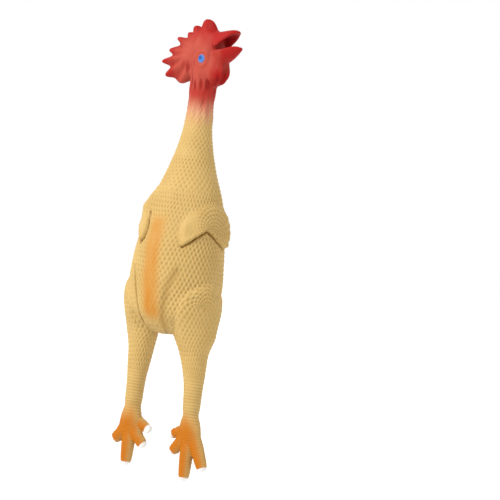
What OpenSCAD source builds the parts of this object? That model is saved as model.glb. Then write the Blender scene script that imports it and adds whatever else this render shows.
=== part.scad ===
// Rubber chicken: a hollow moulded latex toy, held by the neck, with a squeaker plugged into its back.
// Millimetres, +Z up. The breast faces -Y, the chicken's left is +X and the beak points along +X.
// The origin is in the middle of the grip on the neck. One skin is modelled as the stretches between
// the places where it flexes: the flex stretches are nodes of their own.

/* [Skin] */
// Thickness of the hollow latex skin
wall = 2; // [1.6:0.1:2.6]
// Gap left between pieces that move against each other
gap = 0.4; // [0.3:0.05:0.8]

/* [Neck] */
// Width of the neck under the head
neck_w = 25; // [21:0.5:29]
// Length of the stiff grip in the middle of the neck
grip_len = 20; // [14:1:30]
// Length of skin that flexes under the head
throat_len = 20; // [17:1:28]
// Length of skin under the grip that sways sideways
sway_len = 18; // [16:1:26]
// Length of the stiff collar between sway and bend
collar_len = 8; // [6:1:14]
// Length of skin that bends above the body
bend_len = 26; // [22:1:34]
// How late the neck widens towards the body: 1 is a straight cone
neck_flare = 1.8; // [1.4:0.1:2.4]

/* [Body] */
// Length of the body from the bend to the crotch
body_len = 154; // [130:1:185]
// Widest part of the body, side to side
body_w = 98; // [82:1:118]
// Deepest part of the body, breast to back
body_d = 92; // [77:1:110]
// Height of the ridge down the middle of the breast
keel_h = 2.5; // [0:0.5:5]
// How far the folded wings stand out from the body
wing_relief = 3; // [2:0.5:6]
// Length of a folded wing, breast side to back
wing_len = 68; // [56:1:78]
// Height of a folded wing
wing_h = 46; // [38:1:56]

/* [Squeezed breast] */
// Width of the patch that a thumb pushes in
breast_w = 40; // [32:1:46]
// Height of the patch that a thumb pushes in
breast_h = 76; // [60:1:90]
// Width of the soft rim round the patch
rim_w = 7; // [5:0.5:9]

/* [Legs] */
// Distance from the middle to a leg at the ankle
stance = 35; // [29:1:42]
// Thickness of a shank
shank_w = 17.4; // [15:0.2:21]
// Length of skin that flexes at the hip
hip_len = 22; // [19:1:27]
// Length of the stiff thigh under the hip
thigh_len = 17; // [13:1:24]
// Length of skin that flexes at the hock
hock_len = 16; // [13:1:20]
// Length of the stiff shank
shank_len = 19; // [14:1:28]
// Length of skin that flexes at the ankle
ankle_len = 10; // [9:0.5:14]

/* [Feet] */
// Thickness of a toe where it leaves the foot
toe_w = 9.2; // [7.6:0.2:9.6]
// Thickness of the middle toe where it leaves the foot
mid_toe_w = 10.4; // [8.6:0.2:10.6]
// How far behind the legs the feet are set
foot_back = 2; // [0:0.5:4]

/* [Head] */
// Thickness of the latex round the skull, where more of it settles in the mould
skull_wall = 4; // [3:0.5:6]
// Thickness of the comb
comb_t = 4; // [3:0.5:4.8]
// Thickness of the bead along the root of the comb
comb_bead = 5.2; // [5:0.2:6]
// Width of the beak at its root
beak_w = 18; // [15:0.5:20]
// Thickness of a wattle
wattle_t = 8; // [6:0.5:9]

/* [Squeaker] */
// Diameter of the hole in the seat
seat_bore = 14; // [12:0.5:17]
// Thickness of the latex seat round the squeaker
seat_t = 5; // [4:0.5:7]
// Width of latex round the hole
seat_rim = 4; // [3:0.5:6]
// Clearance between the squeaker and its seat
fit_gap = 0.1; // [0.05:0.05:0.3]
// Length of the squeaker cup
cup_len = 21; // [17:0.5:26]
// Thickness of the squeaker's plastic
cup_wall = 1.2; // [0.9:0.1:1.6]
// Thickness of the reed
reed_t = 0.3; // [0.2:0.05:0.5]

/* [Hidden] */

LATEX = "#E3C078";
FOOT_ORANGE = "#E08A2A";
HEAD_RED = "#D8493C";
PLUG_WHITE = "#E9E6DC";

// Heights, from the middle of the grip up to the head and down to the ankles
grip_top = grip_len / 2;
head_base = grip_top + throat_len;
grip_end = -grip_len / 2;
sway_end = grip_end - sway_len;
collar_end = sway_end - collar_len;
bend_end = collar_end - bend_len;
crotch = bend_end - body_len;
hip_end = crotch - hip_len;
thigh_end = hip_end - thigh_len;
hock_end = thigh_end - hock_len;
shank_end = hock_end - shank_len;
ankle_end = shank_end - ankle_len;

body_sides = 44;
leg_sides = 20;
skull_sides = 24;
big = 300;

// ---- outlines of the body and neck ----

// Down the body, from 0 at the bend to 1 at the crotch: share of half the width, share of half the
// depth, and how far the middle leans to the breast
BODY = [
    [0.00, 0.561, 0.598, 0], [0.04, 0.612, 0.650, 0], [0.12, 0.704, 0.750, 0.5], [0.20, 0.770, 0.820, 1],
    [0.27, 0.815, 0.870, 1.5], [0.35, 0.850, 0.920, 2], [0.43, 0.880, 0.965, 3], [0.51, 0.915, 0.990, 3.5],
    [0.58, 0.939, 1.000, 3.5], [0.66, 0.955, 1.000, 3.5], [0.74, 0.949, 0.985, 3.5], [0.82, 0.888, 0.950, 3],
    [0.88, 0.765, 0.870, 3], [0.93, 0.600, 0.720, 4], [0.97, 0.400, 0.500, 6], [1.00, 0.140, 0.180, 8]
];

function body_value(t, k) = lookup(t, [for (s = BODY) [s[0], s[k]]]);
function body_share(z) = (bend_end - z) / body_len;
function half_w(z, grow) = body_value(body_share(z), 1) * body_w / 2 + grow;
function half_d(z, grow) = body_value(body_share(z), 2) * body_d / 2 + grow;
function lean(z) = body_value(body_share(z), 3);
function keel(z, a) = keel_h * pow(max(0, -sin(a)), 10) * sin(180 * min(1, max(0, body_share(z))));
function body_ring(z, grow) = [
    for (i = [0 : body_sides - 1])
        let (a = 360 * i / body_sides)
        [half_w(z, grow) * cos(a), half_d(z, grow) * sin(a) - lean(z) - keel(z, a), z]
];

function neck_r(z) =
    z >= grip_top ? neck_w / 2 :
    neck_w / 2 + (half_w(bend_end, 0) - neck_w / 2)
        * pow((grip_top - z) / (grip_top - bend_end), neck_flare);

// ---- outline of a leg, from the top of the thigh bulge to the ankle ----
// Each row: height, distance from the middle, distance behind the middle, half thickness across,
// half thickness along, and how far the long way is turned from front-back towards the outside
hip_x = stance * 0.87;
LEG = [
    [crotch + 0.410 * body_len, hip_x + 5.0, -12, 3, 6, 28],
    [crotch + 0.380 * body_len, hip_x + 4.5, -13, 9, 15, 28],
    [crotch + 0.325 * body_len, hip_x + 3.5, -13, 13.5, 23, 28],
    [crotch + 0.260 * body_len, hip_x + 2.5, -12.5, 16.5, 28, 28],
    [crotch + 0.190 * body_len, hip_x + 1.6, -11.5, 17.3, 28.5, 30],
    [crotch + 0.120 * body_len, hip_x + 0.8, -10, 17, 26.5, 36],
    [crotch + 0.060 * body_len, hip_x + 0.3, -7.5, 15.8, 23, 46],
    [crotch, hip_x, -5, 14.5, 20, 58],
    [crotch - 0.5 * hip_len, hip_x + 0.8, -3.6, 12.8, 15.2, 58],
    [hip_end, hip_x + 1.8, -2, 11.8, 12.8, 58],
    [thigh_end, stance - 0.8, -0.5, shank_w / 2 + 1.3, shank_w / 2 + 1.5, 58],
    [hock_end, stance - 0.3, 0, shank_w / 2, shank_w / 2, 58],
    [shank_end, stance, 0.5, shank_w / 2 - 0.1, shank_w / 2 - 0.1, 58],
    [ankle_end, stance, 1, shank_w / 2 + 0.9, shank_w / 2, 58]
];

function leg_value(z, k) = lookup(z, [for (s = LEG) [s[0], s[k]]]);
function leg_ring(z, grow) = [
    for (i = [0 : leg_sides - 1])
        let (a = 360 * i / leg_sides, turn = leg_value(z, 5))
        let (u = (leg_value(z, 3) + grow) * cos(a), v = (leg_value(z, 4) + grow) * sin(a))
        [leg_value(z, 1) + u * cos(turn) + v * sin(turn), leg_value(z, 2) - u * sin(turn) + v * cos(turn), z]
];

// ---- shared solids ----

// Closed solid through a stack of level rings, the highest first
module loft(rings) {
    n = len(rings[0]);
    m = len(rings);
    sides = [
        for (j = [0 : m - 2], i = [0 : n - 1])
            let (a = j * n + i, b = j * n + (i + 1) % n)
            each [[a, b, b + n], [a, b + n, a + n]]
    ];
    top = [for (i = [n - 1 : -1 : 0]) i];
    bottom = [for (i = [0 : n - 1]) (m - 1) * n + i];
    polyhedron(points = [for (r = rings) each r], faces = concat([top], sides, [bottom]));
}

// A ring copied straight up or down, so that a hollow runs out past the end of its shell
function moved(ring, rise) = [for (p = ring) [p[0], p[1], p[2] + rise]];

// The right side of the chicken mirrors its left
module on_side(side) {
    if (side == "left") children();
    else mirror([1, 0, 0]) children();
}

// ---- neck ----

// A stretch of the neck, hollow, between two heights
module neck_tube(low, high) {
    steps = 4;
    levels = [for (k = [0 : steps]) low + (high - low) * k / steps];
    rotate_extrude($fn = 72)
        polygon(concat(
            [for (z = levels) [neck_r(z), z]],
            [for (k = [steps : -1 : 0]) [neck_r(levels[k]) - wall, levels[k]]]
        ));
}

module neck_skin() {
    color(LATEX) neck_tube(grip_end, grip_top);
}

module throat_flex() {
    color(LATEX) neck_tube(grip_top, head_base - gap);
}

module sway_flex() {
    color(LATEX) neck_tube(sway_end + gap, grip_end);
}

module collar_skin() {
    color(LATEX) neck_tube(collar_end, sway_end);
}

module bend_flex() {
    color(LATEX) neck_tube(bend_end + gap, collar_end);
}

// ---- body ----

body_levels = [for (s = BODY) bend_end - s[0] * body_len];
thigh_levels = [for (s = LEG) if (s[0] >= crotch) s[0]];

module body_egg(grow) {
    loft([for (z = body_levels) body_ring(z, grow)]);
}

// Inside of the egg: it runs out through the bend and stops a wall above the crotch
module body_hollow() {
    inner = [for (z = body_levels) if (z > crotch + 2 * wall) body_ring(z, -wall)];
    loft(concat([moved(inner[0], 1)], inner));
}

module thigh_bulge() {
    loft([for (z = thigh_levels) leg_ring(z, 0)]);
}

// Inside of the bulge: it runs out through the hip
module thigh_hollow() {
    inner = [for (z = thigh_levels) if (z < crotch + 0.39 * body_len) leg_ring(z, -wall)];
    loft(concat(inner, [moved(inner[len(inner) - 1], -1)]));
}

// Outline of a folded wing from the side: shares of its length towards the back and of its height
WING = [
    [-0.56, -0.02], [-0.47, 0.18], [-0.30, 0.42], [-0.10, 0.54], [0.12, 0.50], [0.32, 0.34], [0.44, 0.08],
    [0.46, -0.24], [0.34, -0.44], [0.06, -0.28], [-0.16, -0.10], [-0.34, -0.30], [-0.50, -0.50], [-0.60, -0.32]
];
wing_z = bend_end - 0.273 * body_len;
wing_y = -6;

// A raised pad with the wing's outline, on the chicken's left
module wing() {
    intersection() {
        body_egg(wing_relief);
        translate([0, wing_y, wing_z])
            rotate([90, 0, 90])
            linear_extrude(height = big)
            polygon([for (p = WING) [p[0] * wing_len, p[1] * wing_h]]);
    }
}

seat_z = bend_end - 0.442 * body_len;
back_y = half_d(seat_z, 0) - lean(seat_z);

// The whole hollow body, with its thigh bulges and wings
module body_shell() {
    difference() {
        union() {
            body_egg(0);
            for (side = ["left", "right"]) on_side(side) {
                thigh_bulge();
                wing();
            }
        }
        body_hollow();
        for (side = ["left", "right"]) on_side(side) thigh_hollow();
    }
}

// Everything in front of an oval with its middle on the breast
breast_z = bend_end - 0.584 * body_len;
module breast_oval(grow) {
    translate([0, -10, breast_z])
        rotate([90, 0, 0])
        linear_extrude(height = big)
        scale([(breast_w + 2 * grow) / (breast_h + 2 * grow), 1])
        circle(d = breast_h + 2 * grow, $fn = 40);
}

// The zero size keeps the shape and makes the shell one mesh
module torso_skin() {
    color(LATEX) resize([0, 0, 0]) difference() {
        body_shell();
        breast_oval(rim_w);
        translate([0, 0, seat_z]) rotate([-90, 0, 0]) cylinder(d = seat_hole_d, h = big, $fn = seat_sides);
    }
}

module breast_rim_flex() {
    color(LATEX) resize([0, 0, 0]) intersection() {
        body_shell();
        difference() {
            breast_oval(rim_w);
            breast_oval(gap);
        }
    }
}

module breast_skin() {
    color(LATEX) resize([0, 0, 0]) intersection() {
        body_shell();
        breast_oval(0);
    }
}

// ---- legs ----

// A stretch of a leg, hollow, between two heights
module leg_tube(low, high) {
    steps = 3;
    levels = [for (k = [steps : -1 : 0]) low + (high - low) * k / steps];
    inner = [for (z = levels) leg_ring(z, -wall)];
    difference() {
        loft([for (z = levels) leg_ring(z, 0)]);
        loft(concat([moved(inner[0], 1)], inner, [moved(inner[steps], -1)]));
    }
}

module hip_flex(side) {
    color(LATEX) on_side(side) resize([0, 0, 0]) leg_tube(hip_end + gap, crotch);
}

module thigh_skin(side) {
    color(LATEX) on_side(side) resize([0, 0, 0]) leg_tube(thigh_end, hip_end);
}

module hock_flex(side) {
    color(LATEX) on_side(side) resize([0, 0, 0]) leg_tube(hock_end + gap, thigh_end);
}

module shank_skin(side) {
    color(LATEX) on_side(side) resize([0, 0, 0]) leg_tube(shank_end, hock_end);
}

module ankle_flex(side) {
    color(FOOT_ORANGE) on_side(side) resize([0, 0, 0]) leg_tube(ankle_end + gap, shank_end);
}

// ---- feet ----
// A foot is a flat fan across the chicken. For each toe: its root and its tip, outwards and up from
// the ankle, and its thickness at the tip. The right foot's toes hang a little shorter.
function toe_root(toe) =
    toe == "hind" ? [-9, -9.5] :
    toe == "inner" ? [-8, -22] :
    toe == "middle" ? [0.5, -29.5] :
    [10.5, -23];
function toe_tip(side, toe) =
    toe == "hind" ? (side == "left" ? [-20.5, -15] : [-19.5, -14.5]) :
    toe == "inner" ? (side == "left" ? [-15.8, -30.5] : [-16.5, -30]) :
    toe == "middle" ? (side == "left" ? [0.8, -54.5] : [0.4, -49.5]) :
    (side == "left" ? [19.8, -43] : [17, -28]);
function root_w(toe) = toe == "middle" ? mid_toe_w : toe_w;
function tip_w(toe) = toe == "hind" ? 6.2 : 7;
foot_y = 1 + foot_back / 2;

module at_foot(p) {
    translate([stance + p[0], foot_y, ankle_end + p[1]]) children();
}

module foot(side) {
    color(FOOT_ORANGE) on_side(side) resize([0, 0, 0]) difference() {
        union() {
            hull() {
                loft([leg_ring(ankle_end, 0), moved(leg_ring(ankle_end, 0), -2)]);
                at_foot([-6, -9]) sphere(d = toe_w, $fn = 16);
                at_foot([5, -14]) sphere(d = toe_w, $fn = 16);
            }
            hull() {
                at_foot([-6, -12]) sphere(d = toe_w, $fn = 16);
                at_foot([-7, -18]) sphere(d = toe_w - 1, $fn = 16);
                at_foot([0, -25]) sphere(d = toe_w, $fn = 16);
                at_foot([8.5, -19]) sphere(d = toe_w, $fn = 16);
                at_foot([4, -10]) sphere(d = toe_w, $fn = 16);
            }
        }
        for (toe = ["hind", "inner", "middle", "outer"])
            hull() {
                at_foot(toe_root(toe)) sphere(d = root_w(toe) + 2 * gap, $fn = 16);
                at_foot(toe_tip(side, toe)) sphere(d = root_w(toe) + 2 * gap, $fn = 16);
            }
    }
}

module toe(side, toe) {
    color(FOOT_ORANGE) on_side(side) hull() {
        at_foot(toe_root(toe)) sphere(d = root_w(toe), $fn = 14);
        at_foot(toe_tip(side, toe)) sphere(d = tip_w(toe), $fn = 14);
    }
}

// ---- head ----
// Points on the head are forward, along the beak, and up from the base of the head
// Up the skull: height, forward shift, half length and half width
SKULL = [
    [61, -2.5, 3, 3], [57, -2, 9, 8.5], [50, -1.5, 12.6, 11.8], [40, -0.6, 14.1, 13.6], [30, -0.2, 14.3, 14.2],
    [18, 0, 14, 13.8], [8, 0, 13.2, 13.2], [0, 0, neck_w / 2, neck_w / 2]
];
function skull_ring(s, grow) = [
    for (i = [0 : skull_sides - 1])
        let (a = 360 * i / skull_sides)
        [s[1] + (s[2] + grow) * cos(a), (s[3] + grow) * sin(a), head_base + s[0]]
];

// The comb flops on a straight root from the nape to the crown
comb_low = [-19, 8];
comb_high = [-10.6, 62];
// Outline of the comb behind its root: seven points, with a notch between each two
COMB = [
    comb_low, [-27, 5.3], [-35.4, 9], [-45.5, 11.7], [-41, 20], [-51.5, 25], [-40.6, 31.5], [-43.6, 36.5],
    [-33, 43.5], [-36, 49.5], [-24.8, 50.8], [-24.3, 55.3], [-18.8, 56.5], [-18, 62.5], comb_high
];
// Outline of the front lobe, which stays with the head
CROWN = [[-7, 50], [-7.2, 63], [-6, 68], [-4, 70.3], [-1, 69.5], [4, 65], [9.4, 60], [6, 50]];

// Mouth corner, about which the lower beak turns
jaw_pivot = [10, 43];

module on_head(p, y = 0) {
    translate([p[0], y, head_base + p[1]]) children();
}

module plate(outline, t) {
    translate([0, t / 2, head_base]) rotate([90, 0, 0]) linear_extrude(height = t) polygon(outline);
}

module comb_rod(d) {
    run = [comb_high[0] - comb_low[0], comb_high[1] - comb_low[1]];
    on_head(comb_low) rotate([0, atan2(run[0], run[1]), 0]) cylinder(d = d, h = norm(run), $fn = 24);
}

module head_skin() {
    color(HEAD_RED) resize([0, 0, 0]) difference() {
        union() {
            loft([for (s = SKULL) skull_ring(s, 0)]);
            hull() {
                on_head([7, 50], beak_w / 2 - 5) sphere(d = 10, $fn = 24);
                on_head([7, 50], 5 - beak_w / 2) sphere(d = 10, $fn = 24);
                on_head([20, 59]) sphere(d = 9, $fn = 24);
                on_head([29, 61.5]) sphere(d = 5.6, $fn = 24);
                on_head([34.2, 60.6]) sphere(d = 5, $fn = 24);
            }
            plate(CROWN, comb_t);
        }
        hollow = [for (s = SKULL) if (s[0] < 55) skull_ring(s, -skull_wall)];
        loft(concat(hollow, [moved(skull_ring(SKULL[len(SKULL) - 1], -wall), -1)]));
        hull() {
            on_head([15.5, 47]) sphere(d = 6, $fn = 24);
            on_head([30, 56]) sphere(d = 3, $fn = 24);
            on_head([26, 46]) sphere(d = 3, $fn = 24);
        }
        comb_rod(comb_bead + 2 * gap);
    }
}

module beak_form(grow) {
    hull() {
        for (y = [-1, 1]) {
            on_head([18.8, 38.2], y * (beak_w / 2 - 4)) sphere(d = 6.4 + 2 * grow, $fn = 20);
            on_head([26.5, 35], y * 2.5) sphere(d = 6 + 2 * grow, $fn = 20);
        }
        on_head([36.9, 45.6]) sphere(d = 4.8 + 2 * grow, $fn = 20);
    }
}

module lower_beak() {
    color(HEAD_RED) beak_form(0);
}

module comb() {
    color(HEAD_RED) resize([0, 0, 0]) union() {
        plate(COMB, comb_t);
        comb_rod(comb_bead);
    }
}

wattle_y = wattle_t / 2 + 0.6;
module wattle_form(side, grow) {
    away = side == "left" ? 1 : -1;
    hull() {
        on_head([20.2, 27.5], away * wattle_y) sphere(d = 5 + 2 * grow, $fn = 20);
        on_head([24.6, 27.5], away * wattle_y) sphere(d = 5 + 2 * grow, $fn = 20);
        on_head([21.6, 13], away * wattle_y) sphere(d = wattle_t + 2 * grow, $fn = 20);
        on_head([22.8, 19], away * wattle_y) sphere(d = wattle_t + 2 * grow, $fn = 20);
    }
}

module wattle(side) {
    color(HEAD_RED) wattle_form(side, 0);
}

// Skin of the throat that stretches between the skull, the lower beak and the wattles
module jaw_flex() {
    color(HEAD_RED) resize([0, 0, 0]) difference() {
        hull() for (y = [-4.5, 4.5]) {
            on_head([12, 38.5], y) sphere(d = 6, $fn = 20);
            on_head([12, 14], y) sphere(d = 6, $fn = 20);
            on_head([17.8, 36.5], y) sphere(d = 6, $fn = 20);
            on_head([17, 14], y) sphere(d = 5, $fn = 20);
        }
        loft([for (s = SKULL) skull_ring(s, 0)]);
        beak_form(gap);
        wattle_form("left", gap);
        wattle_form("right", gap);
    }
}

// ---- squeaker, in the middle of the back, its axis along Y and its outside at +Y ----

seat_d = seat_bore + 2 * seat_rim;
// The hole in the skin has flat sides, so it is a little wider than the round seat
seat_sides = 64;
seat_slack = 0.04;
seat_hole_d = seat_d / cos(180 / seat_sides) + seat_slack;
cup_d = seat_bore - 2 * fit_gap;
flange_t = 1.4;
flange_d = seat_bore + seat_rim;
cup_bore = cup_d - 2 * cup_wall;
block_len = cup_len * 0.62;

// Drawn outwards from the face of the seat
module at_seat(depth = 0) {
    translate([0, back_y - depth, seat_z]) rotate([-90, 0, 0]) children();
}

module squeaker_seat() {
    color(LATEX) at_seat(seat_t - 0.4) difference() {
        cylinder(d = seat_d, h = seat_t, $fn = seat_sides);
        translate([0, 0, -1]) cylinder(d = seat_bore, h = seat_t + 2, $fn = 64);
    }
}

module squeaker_cup() {
    color(PLUG_WHITE) at_seat(cup_len - 0.4) difference() {
        union() {
            cylinder(d = cup_d, h = cup_len, $fn = 64);
            translate([0, 0, cup_len]) cylinder(d = flange_d, h = flange_t, $fn = 64);
        }
        translate([0, 0, -1]) cylinder(d = cup_bore, h = cup_len + 1 - cup_wall, $fn = 64);
        translate([0, 0, -1]) cylinder(d = 4, h = cup_len + flange_t + 2, $fn = 40);
    }
}

module squeaker_cap() {
    color(PLUG_WHITE) at_seat(cup_len - 0.4 + 1.8) difference() {
        cylinder(d = cup_d, h = 1.8, $fn = 64);
        for (k = [0 : 2])
            rotate([0, 0, 120 * k]) translate([cup_bore / 4, 0, -1]) cylinder(d = 2.2, h = 4, $fn = 32);
    }
}

// A half round tongue in the lower half of the cup, with the air slot cut along its flat
module squeaker_reed_block() {
    color(PLUG_WHITE) at_seat(cup_len - 0.4) difference() {
        cylinder(d = cup_bore - 2 * fit_gap, h = block_len, $fn = 64);
        translate([-cup_d, -cup_d, -1]) cube([2 * cup_d, cup_d, block_len + 2]);
        translate([-1.2, -1, 2]) cube([2.4, 3, block_len]);
    }
}

reed_lift = 0.35;
module squeaker_reed() {
    color("#C9B27A") at_seat(cup_len - 0.4)
        translate([-2.2, -reed_lift - reed_t, 1]) cube([4.4, reed_t, block_len - 1]);
}

neck_skin();
throat_flex();
head_skin();
jaw_flex();
lower_beak();
comb();
wattle("left");  // left_wattle
wattle("right");  // right_wattle
sway_flex();
collar_skin();
bend_flex();
torso_skin();
breast_rim_flex();
breast_skin();
hip_flex("left");  // left_hip_flex
thigh_skin("left");  // left_thigh_skin
hock_flex("left");  // left_hock_flex
shank_skin("left");  // left_shank_skin
ankle_flex("left");  // left_ankle_flex
foot("left");  // left_foot
toe("left", "hind");  // left_hind_toe
toe("left", "inner");  // left_inner_toe
toe("left", "middle");  // left_middle_toe
toe("left", "outer");  // left_outer_toe
hip_flex("right");  // right_hip_flex
thigh_skin("right");  // right_thigh_skin
hock_flex("right");  // right_hock_flex
shank_skin("right");  // right_shank_skin
ankle_flex("right");  // right_ankle_flex
foot("right");  // right_foot
toe("right", "hind");  // right_hind_toe
toe("right", "inner");  // right_inner_toe
toe("right", "middle");  // right_middle_toe
toe("right", "outer");  // right_outer_toe
squeaker_seat();
squeaker_cup();
squeaker_cap();
squeaker_reed_block();
squeaker_reed();
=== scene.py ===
# %% [markdown]
# # A rubber chicken
#
# The real thing is one hollow casting of latex rubber, about 2 mm thick. Liquid latex is poured into a
# plaster mould, a skin forms on the plaster, the rest is poured out, and the dry skin is peeled off and
# sprayed with colour. So there are no parts to assemble, only one skin with soft edges and a pebbled
# surface.
#
# This script builds that one skin, gives it its relief and its colours, and only then cuts it into the
# pieces that follow the bodies of the CAD frame. Because every piece comes from the same surface, the
# cuts don't show.

# %% Load the frame
import math

import bmesh
import bpy
import numpy as np

from mathutils import Matrix, Vector, kdtree


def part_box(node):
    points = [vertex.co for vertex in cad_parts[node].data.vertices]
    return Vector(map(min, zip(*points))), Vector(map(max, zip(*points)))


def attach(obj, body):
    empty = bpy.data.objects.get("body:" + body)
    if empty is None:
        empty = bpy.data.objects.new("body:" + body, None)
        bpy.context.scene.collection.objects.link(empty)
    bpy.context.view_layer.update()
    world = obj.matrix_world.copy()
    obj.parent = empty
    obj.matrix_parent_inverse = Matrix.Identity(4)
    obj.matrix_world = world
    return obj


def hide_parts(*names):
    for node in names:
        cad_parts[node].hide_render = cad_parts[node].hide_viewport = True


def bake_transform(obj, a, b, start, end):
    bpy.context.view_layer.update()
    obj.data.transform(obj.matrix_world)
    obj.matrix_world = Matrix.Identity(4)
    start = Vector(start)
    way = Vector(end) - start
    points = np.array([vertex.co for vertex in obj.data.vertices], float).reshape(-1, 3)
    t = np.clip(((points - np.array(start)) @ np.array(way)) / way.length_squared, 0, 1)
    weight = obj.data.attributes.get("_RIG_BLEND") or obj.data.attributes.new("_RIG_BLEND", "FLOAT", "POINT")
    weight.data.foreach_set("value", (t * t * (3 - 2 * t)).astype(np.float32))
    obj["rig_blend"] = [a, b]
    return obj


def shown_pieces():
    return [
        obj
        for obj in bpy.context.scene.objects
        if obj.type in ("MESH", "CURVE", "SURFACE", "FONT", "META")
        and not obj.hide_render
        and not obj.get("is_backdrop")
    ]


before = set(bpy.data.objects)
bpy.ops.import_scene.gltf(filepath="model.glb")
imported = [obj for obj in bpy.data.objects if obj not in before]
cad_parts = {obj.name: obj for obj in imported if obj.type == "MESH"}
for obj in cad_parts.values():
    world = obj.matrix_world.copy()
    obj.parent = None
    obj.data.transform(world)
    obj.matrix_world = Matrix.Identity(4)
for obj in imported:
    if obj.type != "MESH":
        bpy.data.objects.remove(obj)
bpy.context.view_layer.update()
bpy.ops.object.select_all(action="DESELECT")
mm = 0.001

# %% [markdown]
# ## Levels
#
# The CAD frame says where each stretch of the skin begins and ends. Z is up, the breast looks towards -Y
# and the head looks towards +X. All the levels below are in millimetres, read from the boxes of the CAD
# nodes, so the looks stay in step with the frame.

# %% Levels from the frame
def level(node, end):
    """Height in mm of the low (0) or high (1) end of a CAD node."""
    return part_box(node)[end].z / mm


head_base = level("throat_flex", 1)
grip_top = level("neck_skin", 1)
grip_end = level("neck_skin", 0)
sway_end = level("sway_flex", 0)
collar_end = level("collar_skin", 0)
bend_end = level("bend_flex", 0)
crotch = level("left_hip_flex", 1)
hip_end = level("left_hip_flex", 0)
thigh_end = level("left_thigh_skin", 0)
hock_end = level("left_hock_flex", 0)
shank_end = level("left_shank_skin", 0)
ankle_end = level("left_ankle_flex", 0)
body_len = bend_end - crotch
print("neck", head_base, grip_top, grip_end, sway_end, collar_end, bend_end)
print("legs", crotch, hip_end, thigh_end, hock_end, shank_end, ankle_end)

# %% [markdown]
# ## A tube through rings
#
# Neck, body, legs, beak and toes are all tubes whose section changes along the way. Each one starts as a
# circle with a cap. The cap is extruded once for each section, and its corners are put on that section. A
# subdivision surface then rounds the tube. This is how such a form is blocked out by hand too.

# %% Helpers for modelling
def select_only(piece):
    bpy.ops.object.select_all(action="DESELECT")
    piece.select_set(True)
    bpy.context.view_layer.objects.active = piece


def apply_modifier(piece, kind, **settings):
    """Adds a modifier with its settings and applies it."""
    select_only(piece)
    modifier = piece.modifiers.new(kind.title(), kind)
    for key, value in settings.items():
        setattr(modifier, key, value)
    bpy.ops.object.modifier_apply(modifier=modifier.name)


def tube(name, rings, rounding=2):
    """A closed tube through rings, which are lists of points in mm with the same number of corners."""
    bpy.ops.mesh.primitive_circle_add(vertices=len(rings[0]), radius=1, fill_type="NGON")
    piece = bpy.context.object
    piece.name = name
    bpy.ops.object.mode_set(mode="EDIT")
    shape = bmesh.from_edit_mesh(piece.data)
    shape.verts.ensure_lookup_table()
    corners = [v.index for v in shape.verts]
    for count, ring in enumerate(rings):
        if count:
            bpy.ops.mesh.extrude_region_move()
            shape = bmesh.from_edit_mesh(piece.data)
            shape.verts.ensure_lookup_table()
            corners = [
                next(
                    edge.other_vert(shape.verts[corner]).index
                    for edge in shape.verts[corner].link_edges
                    if edge.other_vert(shape.verts[corner]).select
                )
                for corner in corners
            ]
        for corner, point in zip(corners, ring):
            shape.verts[corner].co = [value * mm for value in point]
    bmesh.update_edit_mesh(piece.data)
    bpy.ops.mesh.select_all(action="SELECT")
    bpy.ops.mesh.normals_make_consistent(inside=False)
    bpy.ops.object.mode_set(mode="OBJECT")
    if rounding:
        apply_modifier(piece, "SUBSURF", levels=rounding, render_levels=rounding)
    return piece


def oval(centre, across, along, turn=0, corners=32):
    """A level ring: across is the half size in X, along in Y, and turn swings it from Y towards X."""
    c, s = math.cos(math.radians(turn)), math.sin(math.radians(turn))
    ring = []
    for k in range(corners):
        a = 2 * math.pi * k / corners
        u, v = across * math.cos(a), along * math.sin(a)
        ring.append((centre[0] + u * c + v * s, centre[1] - u * s + v * c, centre[2]))
    return ring


def between(table, x):
    """Reads a table of (x, value, value ...) at x, on a smooth curve through its rows."""
    table = np.array(table, float)
    keys, values = table[:, 0], table[:, 1:]
    x = np.clip(x, keys[0], keys[-1])
    k = np.clip(np.searchsorted(keys, x) - 1, 0, len(keys) - 2)
    slopes = np.gradient(values, keys, axis=0)
    h = (keys[k + 1] - keys[k])[..., None]
    t = ((x - keys[k])[..., None]) / h
    a, b = values[k], values[k + 1]
    p, q = slopes[k] * h, slopes[k + 1] * h
    return a + p * t + (3 * (b - a) - 2 * p - q) * t**2 + (2 * (a - b) + p + q) * t**3


# %% [markdown]
# ## Neck and body
#
# The neck is nearly straight at the grip and then flares into a long egg, widest in its lower half. The
# shares below are of the half width and the half depth, and the last column leans the section towards the
# breast.

# %% Neck and body tube
BODY = [
    (0.00, 0.561, 0.598, 0), (0.04, 0.612, 0.650, 0), (0.12, 0.704, 0.750, 0.5), (0.20, 0.770, 0.820, 1),
    (0.27, 0.815, 0.870, 1.5), (0.35, 0.850, 0.920, 2), (0.43, 0.880, 0.965, 3), (0.51, 0.915, 0.990, 3.5),
    (0.58, 0.939, 1.000, 3.5), (0.66, 0.955, 1.000, 3.5), (0.74, 0.949, 0.985, 3.5), (0.82, 0.888, 0.950, 3),
    (0.88, 0.765, 0.870, 3), (0.93, 0.600, 0.720, 4), (0.97, 0.400, 0.500, 6), (1.00, 0.140, 0.180, 8),
]
half_wide, half_deep = 49, 46
neck_radius, flare_radius, flare_power = 12.5, 27.5, 1.8


def neck_at(z):
    down = np.clip((grip_top - z) / (grip_top - bend_end), 0, 1)
    return neck_radius + (flare_radius - neck_radius) * down**flare_power


def body_at(z):
    """Half width, half depth and lean of the body at a height in mm."""
    rows = between(BODY, (bend_end - np.asarray(z, float)) / body_len)
    return rows[..., 0] * half_wide, rows[..., 1] * half_deep, rows[..., 2]


rings = [oval((0, 0, z), float(neck_at(z)), float(neck_at(z))) for z in (30, 20, 10, -2, -14, -26, -38, -50)]
for row in BODY:
    rings.append(oval((0, -row[3], bend_end - row[0] * body_len), row[1] * half_wide, row[2] * half_deep))
torso = tube("torso", rings)
print("neck and body", len(torso.data.vertices), "points")

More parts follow.
